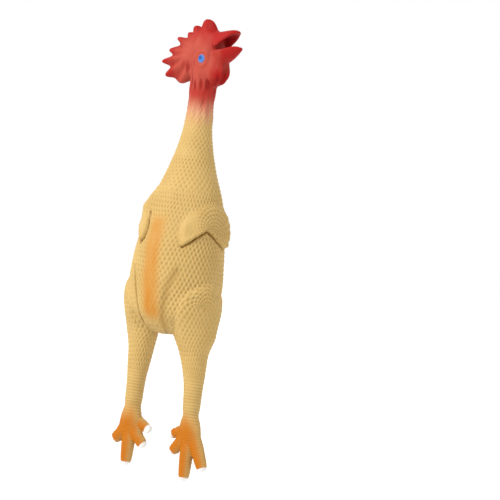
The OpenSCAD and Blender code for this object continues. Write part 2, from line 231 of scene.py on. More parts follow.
# %% [markdown]
# ## Legs
#
# Each thigh starts as a drumstick bulge on the side of the body, slants inwards and narrows to a straight
# shank. The left leg is a tube through turned ovals, and the Mirror modifier makes the right one.

# %% Leg tubes
stance, hip_x = 35.0, 30.45
LEG = [
    (crotch + 0.410 * body_len, hip_x + 5.0, -12, 3, 6, 28),
    (crotch + 0.380 * body_len, hip_x + 4.5, -13, 9, 15, 28),
    (crotch + 0.325 * body_len, hip_x + 3.5, -13, 13.5, 23, 28),
    (crotch + 0.260 * body_len, hip_x + 2.5, -12.5, 16.5, 28, 28),
    (crotch + 0.190 * body_len, hip_x + 1.6, -11.5, 17.3, 28.5, 30),
    (crotch + 0.120 * body_len, hip_x + 0.8, -10, 17, 26.5, 36),
    (crotch + 0.060 * body_len, hip_x + 0.3, -7.5, 15.8, 23, 46),
    (crotch, hip_x, -5, 14.5, 20, 58),
    (crotch - 11, 31.25, -3.6, 12.8, 15.2, 58),
    (hip_end, 32.25, -2, 11.8, 12.8, 58),
    (thigh_end, 34.2, -0.5, 10, 10.2, 58),
    (hock_end, 34.7, 0, 8.9, 8.9, 58),
    (shank_end + 9, 34.9, 0.3, 8.6, 8.6, 58),
    (shank_end, stance, 0.5, 8.7, 8.4, 58),
    (ankle_end + 3, stance + 0.3, 1, 9.5, 8.4, 0),
    (ankle_end - 6, stance + 0.8, 1.6, 11.4, 7.8, 0),
    (ankle_end - 14, stance + 1.4, 2, 12.4, 7, 0),
    (ankle_end - 21, stance + 2, 2, 11, 5.8, 0),
    (ankle_end - 25, stance + 2, 2, 7, 4, 0),
]
leg = tube("leg", [oval((x, y, z), across, along, turn) for z, x, y, across, along, turn in LEG])
print("leg", len(leg.data.vertices), "points")

# %% [markdown]
# ## Toes
#
# Four blunt fingers in one plane: a short one behind, an inner one, a long middle one and an outer one.
# They run together at the ankle, so each toe's tube starts up there and the hollows between them reach
# far up the foot. The two feet of the casting aren't quite the same, so their tips are listed apart.

# %% Toe tubes
foot_y = 2.0
TOE_START = {"hind": (-4, -3), "inner": (-4.5, -6), "middle": (0, -8), "outer": (4, -5)}
TOE_ROOT = {"hind": (-9, -9.5), "inner": (-8, -22), "middle": (0.5, -29.5), "outer": (10.5, -23)}
TOE_TIP = {
    "left": {"hind": (-20.5, -15), "inner": (-15.8, -30.5), "middle": (0.8, -54.5), "outer": (19.8, -43)},
    "right": {"hind": (-19.5, -14.5), "inner": (-16.5, -30), "middle": (0.4, -49.5), "outer": (17, -28)},
}
TOE_GIRTH = {"hind": 5.0, "inner": 5.6, "middle": 6.0, "outer": 6.0}
TOE_SET_BACK = {"hind": 2.0, "inner": -0.4, "middle": -0.8, "outer": 0.4}
SIDES = {"left": 1, "right": -1}


def foot_point(side, place, back=0.0):
    """A place given outwards and up from the ankle, as a point in mm."""
    return np.array((SIDES[side] * (stance + place[0]), foot_y + back, ankle_end + place[1]))


def path_rings(points, girths, flat=1.0, corners=16):
    """Rings across a path in an XZ plane. flat is the share of the girth that the ring has in Y."""
    points = [np.array(p, float) for p in points]
    rings = []
    for k, point in enumerate(points):
        ahead = points[min(k + 1, len(points) - 1)] - points[max(k - 1, 0)]
        ahead = ahead / np.linalg.norm(ahead)
        side = np.cross((0, 1, 0), ahead)
        side = side / np.linalg.norm(side)
        other = np.cross(ahead, side)
        ring = []
        for j in range(corners):
            a = 2 * math.pi * j / corners
            ring.append(point + girths[k] * (math.cos(a) * side + flat * math.sin(a) * other))
        rings.append(ring)
    return rings


def toe(side, name):
    girth = TOE_GIRTH[name]
    start = foot_point(side, TOE_START[name])
    root = foot_point(side, TOE_ROOT[name], TOE_SET_BACK[name])
    tip = foot_point(side, TOE_TIP[side][name], TOE_SET_BACK[name])
    ahead = (tip - root) / np.linalg.norm(tip - root)
    points, girths = [start], [girth * 0.55]
    for share, size in ((0.35, 0.85), (0.7, 1.05)):
        points.append(start + (root - start) * share)
        girths.append(girth * size)
    for share, size in ((0.0, 1.14), (0.35, 1.08), (0.7, 1.0), (1.0, 0.9)):
        points.append(root + (tip - root) * share)
        girths.append(girth * size)
    for out, size in ((2.4, 0.72), (3.6, 0.4), (4.1, 0.12)):
        points.append(tip + ahead * out)
        girths.append(girth * size)
    return tube(side + "_" + name, path_rings(points, girths, 0.94), rounding=2)


toes = [toe(side, name) for side in SIDES for name in TOE_ROOT]
print("toes", len(toes))

# %% [markdown]
# ## Skull and throat
#
# The head grows out of the neck without a step: a rounded block a little longer than wide. It looks
# towards +X. Heights on the head are counted up from its base.

# %% Skull tube
SKULL = [
    (-16, 0, 12.5, 12.5), (-4, 0, 12.5, 12.5), (6, 0.3, 13.2, 13.2), (16, 1.2, 14.8, 13.9),
    (26, 1.4, 15.6, 14.4),
    (36, 1.2, 15.6, 14.2), (46, 0, 14.2, 12.9), (54, -2, 11, 9.8), (59, -3.5, 6.5, 5.6), (61, -4, 2.4, 2.2),
]
skull = tube("skull", [oval((x, 0, head_base + h), long, wide) for h, x, long, wide in SKULL])
print("skull", len(SKULL), "sections")

# %% [markdown]
# ## Face and throat
#
# The sides of the head run on into the beak, so a block as wide as the beak joins the two. Below it two
# soft wattles hang side by side. They are made as one broad throat whose front is then hollowed into a
# deep valley, which leaves a rounded lobe on each side.

# %% Face and throat tubes
def upright_rings(rows):
    """Level ovals given by height, back and front x, and half width."""
    return [oval(((back + front) / 2, 0, h), (front - back) / 2, wide) for h, back, front, wide in rows]


FACE = [
    (46, -4, 14, 7), (52, -6, 16.2, 13.2), (62, -8, 17, 14.2), (72, -8, 17, 13.9),
    (80, -7, 16.4, 12.8), (88, -5, 13, 9.4), (91.5, -2, 8, 3),
]
THROAT = [
    (33, -4, 11.5, 6), (36.5, -4, 19.5, 9), (40, -4, 24, 11), (44.5, -4, 27, 12), (50, -4, 27, 12.4),
    (55, -4, 26.4, 12.4),
    (60, -4, 25, 12), (66, -4, 23.4, 11.6), (70, -4, 19, 9),
]
face = tube("face", upright_rings(FACE))
throat = tube("throat", upright_rings(THROAT))
bpy.ops.mesh.primitive_uv_sphere_add(segments=32, ring_count=20, radius=mm, location=(27.5 * mm, 0, 45 * mm))
valley = bpy.context.object
valley.name = "valley"
valley.scale = (9.5, 7.0, 21)
bpy.ops.object.transform_apply(location=True, rotation=True, scale=True)
apply_modifier(throat, "BOOLEAN", operation="DIFFERENCE", object=valley, solver="EXACT")
bpy.data.objects.remove(valley)
print("face", len(FACE), "sections and throat", len(THROAT))

# %% [markdown]
# ## Beak
#
# The upper beak is a broad open hood and the lower one a pointed trough, gaping wide. Each is a tube
# along X whose section is an arch: the outside of the arch and, set in by the wall, its inside.

# %% Beak tubes
UPPER_BEAK = [
    # ridge x and z, lip x and z, half width
    (4, 92, 12.5, 70.5, 13.6), (11, 88.6, 16.8, 72.3, 13.3), (18, 90.2, 20, 76.2, 12.9),
    (24.5, 91.4, 25.2, 81, 12.0),
    (29, 92.2, 28.8, 85.2, 9.6), (32.6, 92.0, 32.2, 88.4, 6.2), (35.2, 91.0, 34.8, 89.2, 2.6),
]
LOWER_BEAK = [
    # keel x and z, lip x and z, half width
    (9, 52, 9.5, 71, 12.6), (17, 55.5, 16.8, 72.2, 12.4), (24, 58.6, 23.4, 73.4, 11.0),
    (29.8, 62.5, 28.8, 75.8, 8.8),
    (34.6, 67.2, 33.6, 76.8, 6.0), (38.2, 71.2, 37.7, 76.2, 3.4), (40.3, 73.8, 40.5, 74.8, 1.2),
]


def arch_rings(rows, wall, corners=14):
    """Sections from the ridge or keel down to the lips and back along the inside, wall mm in."""
    rings = []
    for top_x, top_z, lip_x, lip_z, half in rows:
        inner = max(half - wall, half * 0.3)
        reach = abs(top_z - lip_z)
        hollow = max(reach - wall, reach * 0.2) / reach
        ring = []
        for k in range(corners + 1):
            a = math.pi * k / corners
            up = math.sin(a) ** 0.8
            ring.append((lip_x + (top_x - lip_x) * up, half * math.cos(a), lip_z + (top_z - lip_z) * up))
        for k in range(corners - 1, 0, -1):
            a = math.pi * k / corners
            up = math.sin(a) ** 0.8 * hollow
            ring.append((lip_x + (top_x - lip_x) * up, inner * math.cos(a), lip_z + (top_z - lip_z) * up))
        rings.append(ring)
    return rings


upper_beak = tube("upper_beak", arch_rings(UPPER_BEAK, 3.0))
lower_beak = tube("lower_beak", arch_rings(LOWER_BEAK, 4.2))
print("upper beak", len(UPPER_BEAK), "sections and lower beak", len(LOWER_BEAK))

# %% [markdown]
# ## Comb
#
# A thick leaf that fans out from the crown to the nape, with seven ragged points behind and one round
# lobe in front. Its outline is a row of points and notches. The leaf is a tube across Y: thin at the
# outline, thick where it runs into the head.

# %% Comb leaf
COMB = [
    # x and z of each corner, from the nape round to the forehead
    (-8, 39.5), (-14, 39), (-20, 37), (-25, 35), (-29, 34.8), (-32.4, 37.6), (-36, 40.4), (-41.5, 39.9),
    (-45.8, 40.2),
    (-47.2, 42.2), (-44.4, 46.4), (-40.4, 50.2), (-44.6, 52.4), (-50.6, 53.4), (-53.8, 54.8), (-51, 57.4),
    (-45, 59.4),
    (-40, 61.8), (-42, 64.6), (-45.2, 65.6), (-46, 68), (-42, 70), (-36, 71.8), (-32, 73.4),
    (-34.6, 76.8), (-38, 79.4), (-37, 81.6), (-30, 80.8), (-24.8, 80.2), (-25.2, 83), (-25.6, 86),
    (-23.6, 87.4), (-18.8, 86), (-19.2, 89), (-19.6, 92), (-17.6, 94.2), (-13.6, 94), (-9.8, 92.2), (-9, 95),
    (-8, 98.8), (-6, 101), (-2.4, 101.6), (2, 100), (5.6, 96.4), (8.4, 91.6), (9.8, 87.4), (9, 80),
]
comb_centre = np.array((-4.0, 66.0))
comb_rings = []
for share, y in ((0.3, 9), (0.62, 7), (0.8, 4.6), (0.93, 3.1), (1.0, 1.5)):
    comb_rings.append([(*(comb_centre + (np.array(p) - comb_centre) * share), y) for p in COMB])
comb_rings += [[(x, z, -y) for x, z, y in ring] for ring in reversed(comb_rings)]
comb = tube("comb", [[(x, y, z) for x, z, y in ring] for ring in comb_rings], rounding=1)
print("comb", len(comb.data.vertices), "points")

# %% [markdown]
# ## One skin
#
# The blocked-out forms run through each other. A voxel remesh keeps only the outside of the lot and turns
# it into one even mesh, and a smoothing pass melts the creases the way a casting's are.

# %% Join and remesh
grain = 0.78
select_only(leg)
mirror = leg.modifiers.new("Mirror", "MIRROR")
mirror.use_axis = (True, False, False)
bpy.ops.object.modifier_apply(modifier=mirror.name)
bpy.ops.object.select_all(action="DESELECT")
for part in [torso, leg, skull, face, throat, upper_beak, lower_beak, comb, *toes]:
    part.select_set(True)
bpy.context.view_layer.objects.active = torso
bpy.ops.object.join()
skin = bpy.context.object
skin.name = "skin"
apply_modifier(skin, "REMESH", mode="VOXEL", voxel_size=grain * mm)
apply_modifier(skin, "SMOOTH", factor=0.5, iterations=round(9 / grain**2))
print("skin", len(skin.data.vertices), "points")

# %% [markdown]
# ## Reading the skin as numbers
#
# From here on the shape is sculpted by moving points along their normals. Each feature is a height in mm
# at every point, worked out from where the point lies: its height, its angle round the body, its distance
# from an edge.

# %% Points, normals and small helpers
def read_skin():
    """Points in mm and unit normals of the skin."""
    count = len(skin.data.vertices)
    points, normals = np.zeros(count * 3), np.zeros(count * 3)
    skin.data.vertices.foreach_get("co", points)
    skin.data.vertex_normals.foreach_get("vector", normals)
    return points.reshape(-1, 3) / mm, normals.reshape(-1, 3)


def move_skin(points):
    skin.data.vertices.foreach_set("co", (points * mm).ravel())
    skin.data.update()


def step(x, low, high):
    """0 below low, 1 above high, smooth between. low may be the larger."""
    t = np.clip((x - low) / (high - low), 0, 1)
    return t * t * (3 - 2 * t)


def bell(x, width):
    return np.exp(-((x / width) ** 2))


chance = np.random.default_rng(7)


def waves(points, size, count=10):
    """Smooth seeded noise between about -1 and 1, with lumps of the given sizes in mm."""
    total = np.zeros(len(points))
    for _ in range(count):
        direction = chance.normal(size=3)
        direction /= np.linalg.norm(direction)
        total += np.sin(points @ (direction / np.array(size)) * 2 * math.pi + chance.uniform(0, 2 * math.pi))
    return total / math.sqrt(count)


def blur(values, rounds):
    """Averages a value over neighbouring points."""
    count = len(skin.data.edges)
    ends = np.zeros(count * 2, np.int32)
    skin.data.edges.foreach_get("vertices", ends)
    ends = ends.reshape(-1, 2)
    near = np.bincount(ends.ravel(), minlength=len(values))
    for _ in range(rounds):
        total = np.bincount(ends[:, 0], values[ends[:, 1]], len(values))
        total += np.bincount(ends[:, 1], values[ends[:, 0]], len(values))
        values = 0.5 * values + 0.5 * total / np.maximum(near, 1)
    return values


points, normals = read_skin()
move_skin(points + 0.45 * normals)
points, normals = read_skin()
x, y, z = points.T
out = np.abs(x)
print("skin from", points.min(0).round(1), "to", points.max(0).round(1))

# %% [markdown]
# ## Which stretch a point belongs to
#
# The pebbles run differently on the body, the thighs, the wings and the shanks. A point belongs to the
# leg where it lies on the leg's ovals and outside the body's, and the two patterns fade into each other
# over 2 mm.

# %% Regions
half_x, half_y, leaning = body_at(z)
half_x = np.where(z > bend_end, neck_at(z), half_x)
half_y = np.where(z > bend_end, neck_at(z), half_y)
leaning = np.where(z > bend_end, 0, leaning)
round_front = np.arctan2(x, -(y + leaning))
round_side = np.arctan2(-(y + leaning), out)
off_body = (np.hypot(x / half_x, (y + leaning) / half_y) - 1) * (half_x + half_y) / 2

leg_rows = sorted(LEG)
leg_x, leg_y, leg_across, leg_along, leg_turn = between(leg_rows, z).T
c, s = np.cos(np.radians(leg_turn)), np.sin(np.radians(leg_turn))
leg_u = (out - leg_x) * c - (y - leg_y) * s
leg_v = (out - leg_x) * s + (y - leg_y) * c
off_leg = (np.hypot(leg_u / leg_across, leg_v / leg_along) - 1) * (leg_across + leg_along) / 2
on_leg = np.where(z < crotch - 6, 1, step(off_body - off_leg, -0.5, 2.5)) * (z < crotch + 0.41 * body_len)
on_head = step(z, head_base - 8, head_base + 4)
down_body = np.clip((bend_end - z) / body_len, 0, 1)
print("on a leg", round(float(on_leg.mean()), 3), "on the head", round(float(on_head.mean()), 3))

# %% [markdown]
# ## Keel
#
# The breast has a soft ridge down its middle, most in the middle of its length.

# %% Keel
keel = 2.5 * np.clip(np.cos(round_front), 0, 1) ** 10 * np.sin(math.pi * down_body) * (1 - on_leg)
points[:, 1] -= keel * (z < bend_end) * (z > crotch)
move_skin(points)
points, normals = read_skin()
x, y, z = points.T
print("keel", round(float(keel.max()), 2), "mm proud")

# %% [markdown]
# ## Wings
#
# The wings are folded flat against the body and moulded with it. Each is a low plateau: its upper edge
# melts into the body, its lower edge is undercut by a crease shaped like a roof, and its elbow bulges out
# behind. The outline is drawn on the unrolled side of the body: forwards round it, and up.

# %% Wing relief
WING_TOP = [(47, -99), (36, -89), (22, -81), (6, -78.5), (-12, -80.5), (-27, -86), (-35, -95)]
WING_BACK = [(-35, -95), (-38, -108), (-33, -118.5), (-24, -124.5)]
WING_CREASE = [
    (-24, -124.5), (-14, -125), (-6, -121.5), (1, -118.5),
    (8, -114), (17, -109.2), (29, -117.5), (41, -127.5),
]
WING_FRONT = [(41, -127.5), (45.5, -123), (47.5, -114), (47, -99)]
wing_high, elbow_high, side_radius = 2.6, 2.8, 43.0


def edge_distance(px, py, line):
    """Distance from each point to a broken line."""
    best = np.full(len(px), 1e9)
    for (ax, ay), (bx, by) in zip(line, line[1:]):
        dx, dy = bx - ax, by - ay
        t = np.clip(((px - ax) * dx + (py - ay) * dy) / (dx * dx + dy * dy), 0, 1)
        best = np.minimum(best, np.hypot(px - ax - t * dx, py - ay - t * dy))
    return best


def inside(px, py, outline):
    """True for each point inside a closed outline."""
    hit = np.zeros(len(px), bool)
    for (ax, ay), (bx, by) in zip(outline, outline[1:] + outline[:1]):
        crosses = (ay > py) != (by > py)
        where = (bx - ax) * (py - ay) / (by - ay if by != ay else 1e-9) + ax
        hit ^= crosses & (px < where)
    return hit


around = round_side * side_radius - np.where(x < 0, 3.0 * step(z, -100, -120), 0)
to_crease = edge_distance(around, z, WING_CREASE)
to_back = edge_distance(around, z, WING_BACK)
to_front = edge_distance(around, z, WING_FRONT)
to_top = edge_distance(around, z, WING_TOP)
at_wing = (z > -135) & (z < -70)
in_wing = inside(around, z, WING_TOP[:-1] + WING_BACK[:-1] + WING_CREASE[:-1] + WING_FRONT[:-1]) & at_wing
crisp_front = np.where(x < 0, 1.4, 7.0)
soft_top = np.where(x < 0, 7.0, 11.0)
plateau = step(to_crease, 0, 1.8) * step(to_back, 0, 4)
plateau *= step(to_front / crisp_front, 0, 1) * step(to_top / soft_top, 0, 1)
elbow = bell(np.hypot((around + 22) / 15, (z + 107) / 15), 1) * step(to_crease, 0, 4) * step(to_back, 0, 5)
crease = bell(to_crease - 0.7, 1.2) * ~in_wing * at_wing * step(around, -22, -8)
front_groove = bell(to_front - 0.9, 1.5) * ~in_wing * at_wing * (x < 0)
shoulder_far = np.hypot((around - 36) / 14, (z + 88) / 13)
shoulder = 4.5 * bell(shoulder_far, 1) * (x < 0) * at_wing * step(to_front, 0, 2)
undercut = 0.5 * bell(to_crease - 2.6, 1.6) * in_wing
wing = (wing_high * plateau + elbow_high * elbow + undercut) * in_wing
wing = wing - 1.3 * crease - 1.5 * front_groove + shoulder
print("wing stands", round(float(wing.max()), 2), "mm proud")

# %% [markdown]
# ## The edge of the breast
#
# The breast ends in a rounded tongue that lies over the thighs. On the right its edge is a crisp line, on
# the left the mould has worn it to a soft valley. The line is given by its angle from the side and its
# height.

# %% Breast edge
BREAST_EDGE = [(57, -152), (63, -163), (67, -176), (69.5, -190), (69, -203), (63, -212), (50, -219)]
edge_turn = np.degrees(round_side)
edge_line = [(turn_k * 0.76, height_k) for turn_k, height_k in BREAST_EDGE]
to_edge = edge_distance(edge_turn * 0.76, z, edge_line)
edge_share = np.where(x < 0, 1.0, 0.5) * (z > -224)
edge_wide = np.where(x < 0, 1.7, 3.6)
breast_edge = bell(to_edge / edge_wide, 1) * edge_share
tongue = bell(to_edge - 4, 4) * (edge_turn * 0.76 > np.interp(-z, [152, 190, 211], [43, 53, 44])) * edge_share
breast_relief = 0.8 * tongue - 1.7 * breast_edge
print("edge of the breast", round(float(breast_relief.min()), 2), "mm deep")

# %% [markdown]
# ## Eyes
#
# A shallow raised ring with a small oval ball in it, on each side of the head.

# %% Eye relief
eye_x, eye_z = 2.9, head_base + 30.6
eye_far = np.hypot(x - eye_x, (z - eye_z) / 1.18)
eye_side = (np.abs(y) > 8) * (z > head_base)
eye_ring = bell(eye_far - 6.0, 1.7) * 0.8
eye_ball = np.sqrt(np.clip(1 - (eye_far / 3.5) ** 2, 0, 1)) * 1.5
eye_dip = -0.5 * bell(eye_far, 4.6)
eyes = (eye_ring + eye_ball + eye_dip) * eye_side
print("eyes", round(float(eyes.max()), 2), "mm proud")

# %% [markdown]
# ## Comb folds and wrinkles
#
# The comb has a ridge along each point and a hollow towards each notch. The cheeks and the top of the
# neck are drawn into fine lengthwise wrinkles.

# %% Comb folds and wrinkles
POINT_TIPS = [
    (-6, 100), (-18, 92.5), (-24.3, 85.5), (-36, 80),
    (-44.2, 67), (-51.5, 55), (-45.6, 41.6), (-27, 34),
]
tip_turns = [math.atan2(b - comb_centre[1], a - comb_centre[0]) % (2 * math.pi) for a, b in POINT_TIPS]
comb_far = np.hypot(x - comb_centre[0], z - comb_centre[1])
comb_turn = np.arctan2(z - comb_centre[1], x - comb_centre[0]) % (2 * math.pi)
fold = np.zeros(len(z))
for turn_k in tip_turns:
    fold = np.maximum(fold, bell((comb_turn - turn_k) * comb_far, 3.6))
on_comb = step(comb_far, 18, 31) * (z > head_base - 2) * (x < 9) * (np.abs(y) < 9)
comb_folds = (fold - 0.45) * 1.7 * on_comb * np.abs(normals[:, 1])

streaks = waves(points, (5.0, 5.0, 26.0), 14)
on_cheek = step(z, -12, 8) * step(z, head_base + 34, head_base + 18) * (1 - on_comb)
wrinkles = 0.32 * streaks * on_cheek * (1 - bell(eye_far, 7) * eye_side)
print("comb folds", len(POINT_TIPS), "and wrinkles", round(float(wrinkles.max()), 2), "mm proud")

# %% [markdown]
# ## Pebbles
#
# The skin of a plucked bird: staggered rows of low bumps with small pits between them. Two waves across
# each other give that pattern. On the body the rows run lengthwise and round it, and there are fewer of
# them up the neck. On the thighs they bend over in arches, on the wings they follow the fold, and the
# shanks have rings.

# %% Pebbles
pitch = 8.6


def pebble(across, along):
    return np.cos(2 * math.pi * across) * np.cos(2 * math.pi * along)


drift = 0.13 * waves(points, (34, 34, 34), 8)
drift_2 = 0.13 * waves(points, (30, 30, 30), 8)
turns = round_front / (2 * math.pi)
size = (half_x + half_y) / 2
BANDS = [(64, 60, 31.5, 8.6), (34, 31.5, 18.5, 7.6), (24, 18.5, 5, 7.0)]
body_pebbles = np.zeros(len(z))
for columns, wide, narrow, pitch_k in BANDS:
    share = step(size, narrow - 1.5, narrow + 1.5) * (1 - step(size, wide - 1.5, wide + 1.5))
    body_pebbles += share * pebble(turns * columns + drift, z / pitch_k + drift_2)

arch_turn, arch_top, leg_columns, arch_radius = math.radians(-38), -186.0, 28, 20.0
leg_round = np.arctan2(y - leg_y, out - leg_x) - arch_turn
leg_round = np.abs((leg_round + math.pi) % (2 * math.pi) - math.pi)
above = np.clip((z - arch_top) / arch_radius, 0, None)
arch_far = np.hypot(leg_round, above)
arch_slope = np.arctan2(above, leg_round)
along_leg = np.where(z < arch_top, (arch_top - z) / pitch, -arch_slope * arch_radius * 0.8 / pitch)
leg_pebbles = pebble(arch_far * leg_columns / (2 * math.pi) + drift, along_leg + drift_2)

fold_far = np.hypot(around - 17, z + 112)
fold_turn = np.arctan2(z + 112, around - 17)
wing_pebbles = pebble(fold_far / 4.4 + drift, fold_turn * 2.6)
on_wing = step(to_crease, 0, 2.5) * step(to_top, 2, 9) * in_wing

stripe_z = step(z, -94, -108) * step(z, -208, -194)
stripe_x = np.interp(z, [-200, -100], [3, -3.5])
stripe_strong = np.interp(z, [-190, -110], [1, 0.72])
stripe = step(np.abs(x - stripe_x), 14, 2) * stripe_z * (y < 0) * (1 - on_leg) * stripe_strong

arms_smooth = step(around, 24, 33) * on_wing
pattern = body_pebbles * (1 - on_leg) + leg_pebbles * on_leg
pattern = pattern * (1 - on_wing) + wing_pebbles * on_wing
strength = (1 - 0.75 * arms_smooth) * (1 - 0.55 * stripe)
strength *= step(z, head_base - 2, 2)
strength *= 1 - step(z, -252, -264)
strength *= 0.82 + 0.18 * waves(points, (45, 45, 45), 6)
strength = np.where(size < 20, strength * 0.8, strength)
bump_high = 0.66
pebbles = bump_high * strength * np.where(pattern > 0, pattern, 0.85 * pattern)
pebbles += 0.14 * on_wing * (1 - arms_smooth) * pattern

shank = step(z, -250, -262) * step(z, -306, -300)
rings_high = 0.26 * shank * (np.sin(2 * math.pi * z / 3.0 + 0.4 * waves(points, (14, 14, 40), 6)))
toes_fold = 0.26 * step(z, -303, -310) * np.sin(2 * math.pi * z / 2.6)
leg_side = leg_round * arch_radius
dome_far = np.hypot(leg_side / 25, np.clip(z + 192, 0, None) / 27)
dome = step(dome_far, 1.1, 0.8) * step(z, -236, -214) * np.where(x > 0, 1.9, 0.8) * (z < -150) * (y < 24)
print("pebbles", bump_high, "mm high")

# %% Move the points
height = wing + breast_relief + dome + eyes + comb_folds + 1.7 * wrinkles + pebbles + rings_high + toes_fold
move_skin(points + height[:, None] * normals)
base_normals = normals.copy()
points, normals = read_skin()
print("relief from", round(float(height.min()), 2), "to", round(float(height.max()), 2), "mm")

# %% [markdown]
# ## Where the colours go
#
# The spray gun leaves soft edges: red on the head, running down the neck in a pink mist, orange on the
# breast and on the fronts of the feet. The nails are dipped in white and the eyes dabbed in blue. Each of
# these is stored on the points, from 0 to 1, and the latex material mixes its colours with them. The pits
# hold more of the pigment, and painted shade darkens them further, as it does the creases and grooves,
# the hollows of the comb, the wrinkles of the cheeks and the throat under the jaw.

# %% Colour masks
def store(name, values):
    attribute = skin.data.attributes.new(name, "FLOAT", "POINT")
    attribute.data.foreach_set("value", np.asarray(values, np.float32))


mist = waves(points, (9, 9, 22), 12)
store("red_spray", step(z + 1.3 * mist + 3.5 * bell(round_front - 1.2, 0.9), 6, 26))
store("pink_mist", step(z + 1.8 * mist, -12, 14))
facing = -base_normals[:, 1] * 0.76 - base_normals[:, 0] * 0.47
foot_spray = step(z + 1.5 * mist, ankle_end + 16, ankle_end - 12) * (0.3 + 0.7 * step(facing, -0.1, 0.8))
store("orange_spray", foot_spray)
store("breast_stripe", stripe * (0.9 + 0.1 * mist))
# Pigment gathers in the pits. Painted shade darkens the pits further, and also the wing crease and groove, the
# breast edge and the rings of the shanks and toes.
pit_pigment_and_shade = 0.55 * np.where(pattern < 0, -pattern, 0) * strength * (1 - shank)
pit_pigment_and_shade = np.maximum(pit_pigment_and_shade, shank * 0.35 * np.clip(-np.sin(2 * math.pi * z / 3.0), 0, 1))
pit_pigment_and_shade = np.maximum(pit_pigment_and_shade, 1.2 * np.maximum(crease, front_groove))
pit_pigment_and_shade = np.maximum(pit_pigment_and_shade, 0.8 * breast_edge)
pit_pigment_and_shade = np.maximum(pit_pigment_and_shade, 0.3 * step(z, -303, -310) * np.clip(-np.sin(2 * math.pi * z / 2.6), 0, 1))
store("pit_pigment_and_shade", pit_pigment_and_shade)
# Painted shade: the red is darkened in the hollows of the comb and in the troughs of the cheek wrinkles.
hollow = np.clip(0.5 - fold, 0, 1) * on_comb
from_cheek = np.hypot(x + 8, z - head_base - 26)
# Painted shade: the throat and wattles under the jaw get the deep red, which also deepens farther from the
# cheek.
shade_under_jaw = step(x, 8, 22) * step(z, 64, 44)
deep_red_and_jaw_shade = np.maximum(0.9 * step(from_cheek + 2 * mist, 17, 38), shade_under_jaw)
store("deep_red_and_jaw_shade", deep_red_and_jaw_shade * step(z, head_base - 16, head_base + 2))
store("painted_shade_in_red_hollows", np.clip(hollow + 0.8 * np.clip(-streaks, 0, 1) * on_cheek, 0, 1) * step(z, 12, 26))
store("eye_blue", step(eye_far, 3.9, 3.2) * eye_side)
store("eye_dark", step(np.hypot(x - eye_x + 1.0, z - eye_z - 0.9), 2.9, 1.3) * eye_side)
store("eye_glow", 0.6 * step(eye_far, 8, 5.5) * eye_side)
nails = np.zeros(len(z))
for side in SIDES:
    ends, cover_of = {}, {"hind": -1.8, "inner": 0.2, "outer": 0.2, "middle": 0.2}
    for name in TOE_TIP[side]:
        tip = foot_point(side, TOE_TIP[side][name], TOE_SET_BACK[name])
        root = foot_point(side, TOE_ROOT[name], TOE_SET_BACK[name])
        ends[name] = (tip, (tip - root) / np.linalg.norm(tip - root))
    from_end = {name: np.linalg.norm(points - tip - 3 * ahead, axis=1) for name, (tip, ahead) in ends.items()}
    nearest_end = np.min(list(from_end.values()), axis=0)
    for name, (tip, ahead) in ends.items():
        past = (points - tip) @ ahead
        mine = (from_end[name] <= nearest_end) & (from_end[name] < 8.5)
        nails = np.maximum(nails, step(past, cover_of[name], cover_of[name] + 1.0) * mine)
store("nails", nails)
lips_x = [row[2] for row in UPPER_BEAK]
upper_lip = np.interp(x, lips_x, [row[3] for row in UPPER_BEAK])
lower_x = [row[2] for row in LOWER_BEAK]
lower_lip = np.interp(x, lower_x, [row[3] for row in LOWER_BEAK])
lip_half = np.interp(x, lips_x, [row[4] for row in UPPER_BEAK])
in_mouth = (x > 11.5) * (z > lower_lip - 4) * (np.abs(y) < lip_half - 0.6)
hood = 0.6 * in_mouth * (base_normals[:, 2] < 0.0) * (z > lower_lip + 1.2)
floor_of_mouth = in_mouth * (base_normals[:, 2] > 0.3) * (z < upper_lip - 0.5) * (np.abs(y) < lip_half - 1.6)
mouth = blur(np.maximum(hood, floor_of_mouth).astype(float), 3)
store("mouth", mouth)
print("masks", len(skin.data.attributes))

# %% [markdown]
# ## Seat of the squeaker
#
# In the middle of the back a squeaker is pressed into a thickened ring of the skin. The skin is flattened
# round it, and the ring itself and the plastic parts are the CAD pieces.

# %% Flatten the skin round the squeaker
seat_low, seat_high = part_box("squeaker_seat")
seat_z = (seat_low.z + seat_high.z) / 2 / mm
seat_radius = (seat_high.x - seat_low.x) / 2 / mm
seat_face = seat_high.y / mm - 0.3
points, normals = read_skin()
from_seat = np.hypot(points[:, 0], points[:, 2] - seat_z)
flat = step(from_seat, seat_radius + 6, seat_radius + 1.5) * (points[:, 1] > 20)
points[:, 1] += flat * (seat_face - points[:, 1])
move_skin(points)
skin_points, skin_normals = read_skin()
skin_values = {}
for attribute in skin.data.attributes:
    if attribute.data_type == "FLOAT" and attribute.domain == "POINT":
        skin_values[attribute.name] = np.zeros(len(skin_points), np.float32)
        attribute.data.foreach_get("value", skin_values[attribute.name])
print("seat of the squeaker", round(seat_face, 2), "mm behind the middle")

# %% [markdown]
# ## Hollow
#
# Pouring the latex out leaves a skin and not a solid. Thin parts such as toes, comb and beak fill up in
# the mould, so they stay solid. The air inside is a second, plainer body: the same tubes drawn smaller.

# %% The air inside
def cut(piece, cutter, keep_inside):
    """Keeps the part of piece inside or outside a closed cutter."""
    operation = "INTERSECT" if keep_inside else "DIFFERENCE"
    apply_modifier(piece, "BOOLEAN", operation=operation, object=cutter, solver="MANIFOLD")


def discard(*things):
    for thing in things:
        bpy.data.objects.remove(thing)


